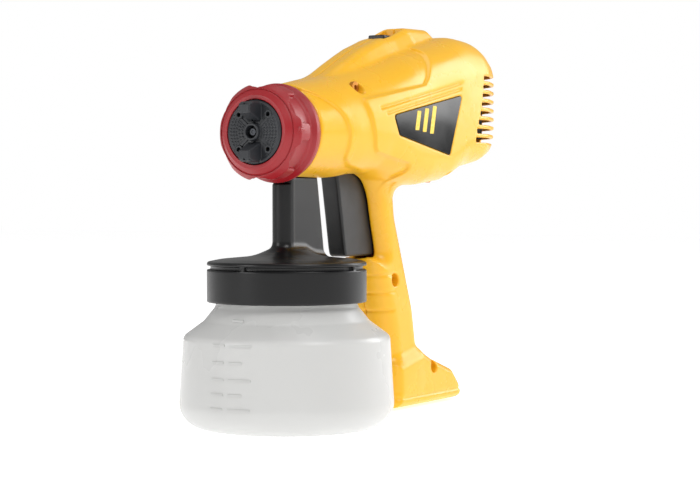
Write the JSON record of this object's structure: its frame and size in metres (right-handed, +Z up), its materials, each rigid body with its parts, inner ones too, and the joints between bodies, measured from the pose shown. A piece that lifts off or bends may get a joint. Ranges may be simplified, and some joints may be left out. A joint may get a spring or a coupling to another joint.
{
  "type": "handheld paint sprayer",
  "caption": "Handheld air-atomising paint sprayer: motor housing with pistol grip and foot, red union nut and air cap, trigger, and a screw-on translucent paint container.",
  "frame": {"origin": "centre of the paint container's base, on the surface that the sprayer stands on", "axes": "+Z up, the nozzle sprays towards -Y, +X is the side with the screw heads"},
  "size_m": [0.1296, 0.2991, 0.2515],
  "materials": {
    "yellow_shell": "satin moulded plastic",
    "screw_steel": "dark zinc",
    "badge_black": "gloss",
    "dark_plastic": "satin",
    "bright_steel": "turned",
    "black_rubber": "matt",
    "white_plastic": "satin",
    "lid_black": "satin moulded plastic",
    "tube_plastic": "satin",
    "red_plastic": "satin moulded plastic",
    "cap_black": "satin moulded plastic",
    "container_plastic": "translucent, frosted",
    "trigger_black": "satin moulded plastic",
    "motor_steel": "rolled",
    "dark_metal": "sintered",
    "carbon": "matt",
    "copper": "wound",
    "fan_alloy": "cast",
    "filter_foam": "open foam",
    "wire_insulation": "smooth"
  },
  "bodies": {
    "gun": {"housing_left": "yellow_shell", "housing_right": "yellow_shell", "grip_left": "yellow_shell", "grip_right": "yellow_shell", "foot_left": "yellow_shell", "foot_right": "yellow_shell", "housing_screws": "screw_steel", "badge_left": "badge_black", "badge_right": "badge_black", "nozzle_body": "dark_plastic", "nozzle": "bright_steel", "nozzle_seal": "black_rubber", "air_cap_seal": "black_rubber", "needle_packing": "white_plastic", "needle_guide": "dark_plastic", "container_lid": "lid_black", "tube_seal": "black_rubber", "vent_valve": "black_rubber", "trigger_pin": "bright_steel", "trigger_spring": "bright_steel", "needle_spring": "bright_steel", "trigger_switch": "dark_plastic", "slide_switch": "dark_plastic", "turbine_housing": "dark_plastic", "air_duct": "dark_plastic", "motor_can": "motor_steel", "motor_end_bell": "dark_plastic", "motor_magnets": "dark_metal", "motor_brushes": "carbon", "motor_mounts": "black_rubber", "shaft_bearings": "bright_steel", "intake_filter": "filter_foam", "cord_gland": "black_rubber", "cord_clamp": "dark_plastic", "cord_clamp_screws": "screw_steel", "wiring": "wire_insulation"},
    "slip_ring": {"slip_ring": "white_plastic"},
    "union_nut": {"union_nut": "red_plastic"},
    "air_cap": {"air_cap": "cap_black"},
    "container_gasket": {"container_gasket": "black_rubber"},
    "container": {"container_floor": "container_plastic", "container_wall_ring": "container_plastic", "container_shoulder": "container_plastic", "container_neck": "container_plastic"},
    "feed_tube": {"feed_tube": "tube_plastic"},
    "trigger": {"trigger": "trigger_black"},
    "needle": {"needle": "bright_steel"},
    "switch_plunger": {"switch_plunger": "red_plastic"},
    "slide_button": {"slide_button": "trigger_black"},
    "rotor": {"rotor_shaft": "bright_steel", "armature": "copper", "commutator": "copper", "fan_wheel": "fan_alloy", "fan_nut": "bright_steel"}
  },
  "joints": [
    {"name": "nut_travel", "type": "slide", "parent": "gun", "child": "slip_ring", "axis": [0, -1, 0], "range_m": [0, 0.0121]},
    {"name": "union_nut_turn", "type": "hinge", "parent": "slip_ring", "child": "union_nut", "pos_m": [0, -0.02, 0.1765], "axis": [0, -1, 0], "range_deg": [0, 1080]},
    {"name": "air_cap_turn", "type": "hinge", "parent": "slip_ring", "child": "air_cap", "pos_m": [0, -0.03, 0.1765], "axis": [0, -1, 0], "range_deg": [-90, 90]},
    {"name": "container_turn", "type": "hinge", "parent": "gun", "child": "container_gasket", "pos_m": [0, 0, 0.094], "axis": [0, 0, -1], "range_deg": [0, 120]},
    {"name": "container_lower", "type": "slide", "parent": "container_gasket", "child": "container", "axis": [0, 0, -1], "range_m": [0, 0.105]},
    {"name": "feed_tube_turn", "type": "hinge", "parent": "gun", "child": "feed_tube", "pos_m": [0, -0.004, 0.09], "axis": [0, 0, 1], "range_deg": [-180, 180]},
    {"name": "trigger_pull", "type": "hinge", "parent": "gun", "child": "trigger", "pos_m": [0, 0.062, 0.19], "axis": [1, 0, 0], "range_deg": [0, 10], "stiffness_Nm_per_rad": 0.8, "springref_deg": -17.19, "deforming": ["trigger_spring"]},
    {"name": "needle_slide", "type": "slide", "parent": "gun", "child": "needle", "axis": [0, 1, 0], "range_m": [0, 0.0026], "deforming": ["needle_spring"]},
    {"name": "switch_plunger_slide", "type": "slide", "parent": "gun", "child": "switch_plunger", "axis": [0, 1, 0], "range_m": [0, 0.0026]},
    {"name": "slide_button_slide", "type": "slide", "parent": "gun", "child": "slide_button", "axis": [0, 1, 0], "range_m": [0, 0.009]},
    {"name": "motor_spin", "type": "hinge", "parent": "gun", "child": "rotor", "pos_m": [0, 0.15, 0.192], "axis": [0, 1, 0], "continuous": true}
  ],
  "couplings": [
    {"joint": "nut_travel", "follows": "union_nut_turn", "m_per_rad": 0.00063662},
    {"joint": "needle_slide", "follows": "trigger_pull", "m_per_rad": 0.0146},
    {"joint": "switch_plunger_slide", "follows": "trigger_pull", "m_per_rad": 0.0146}
  ]
}
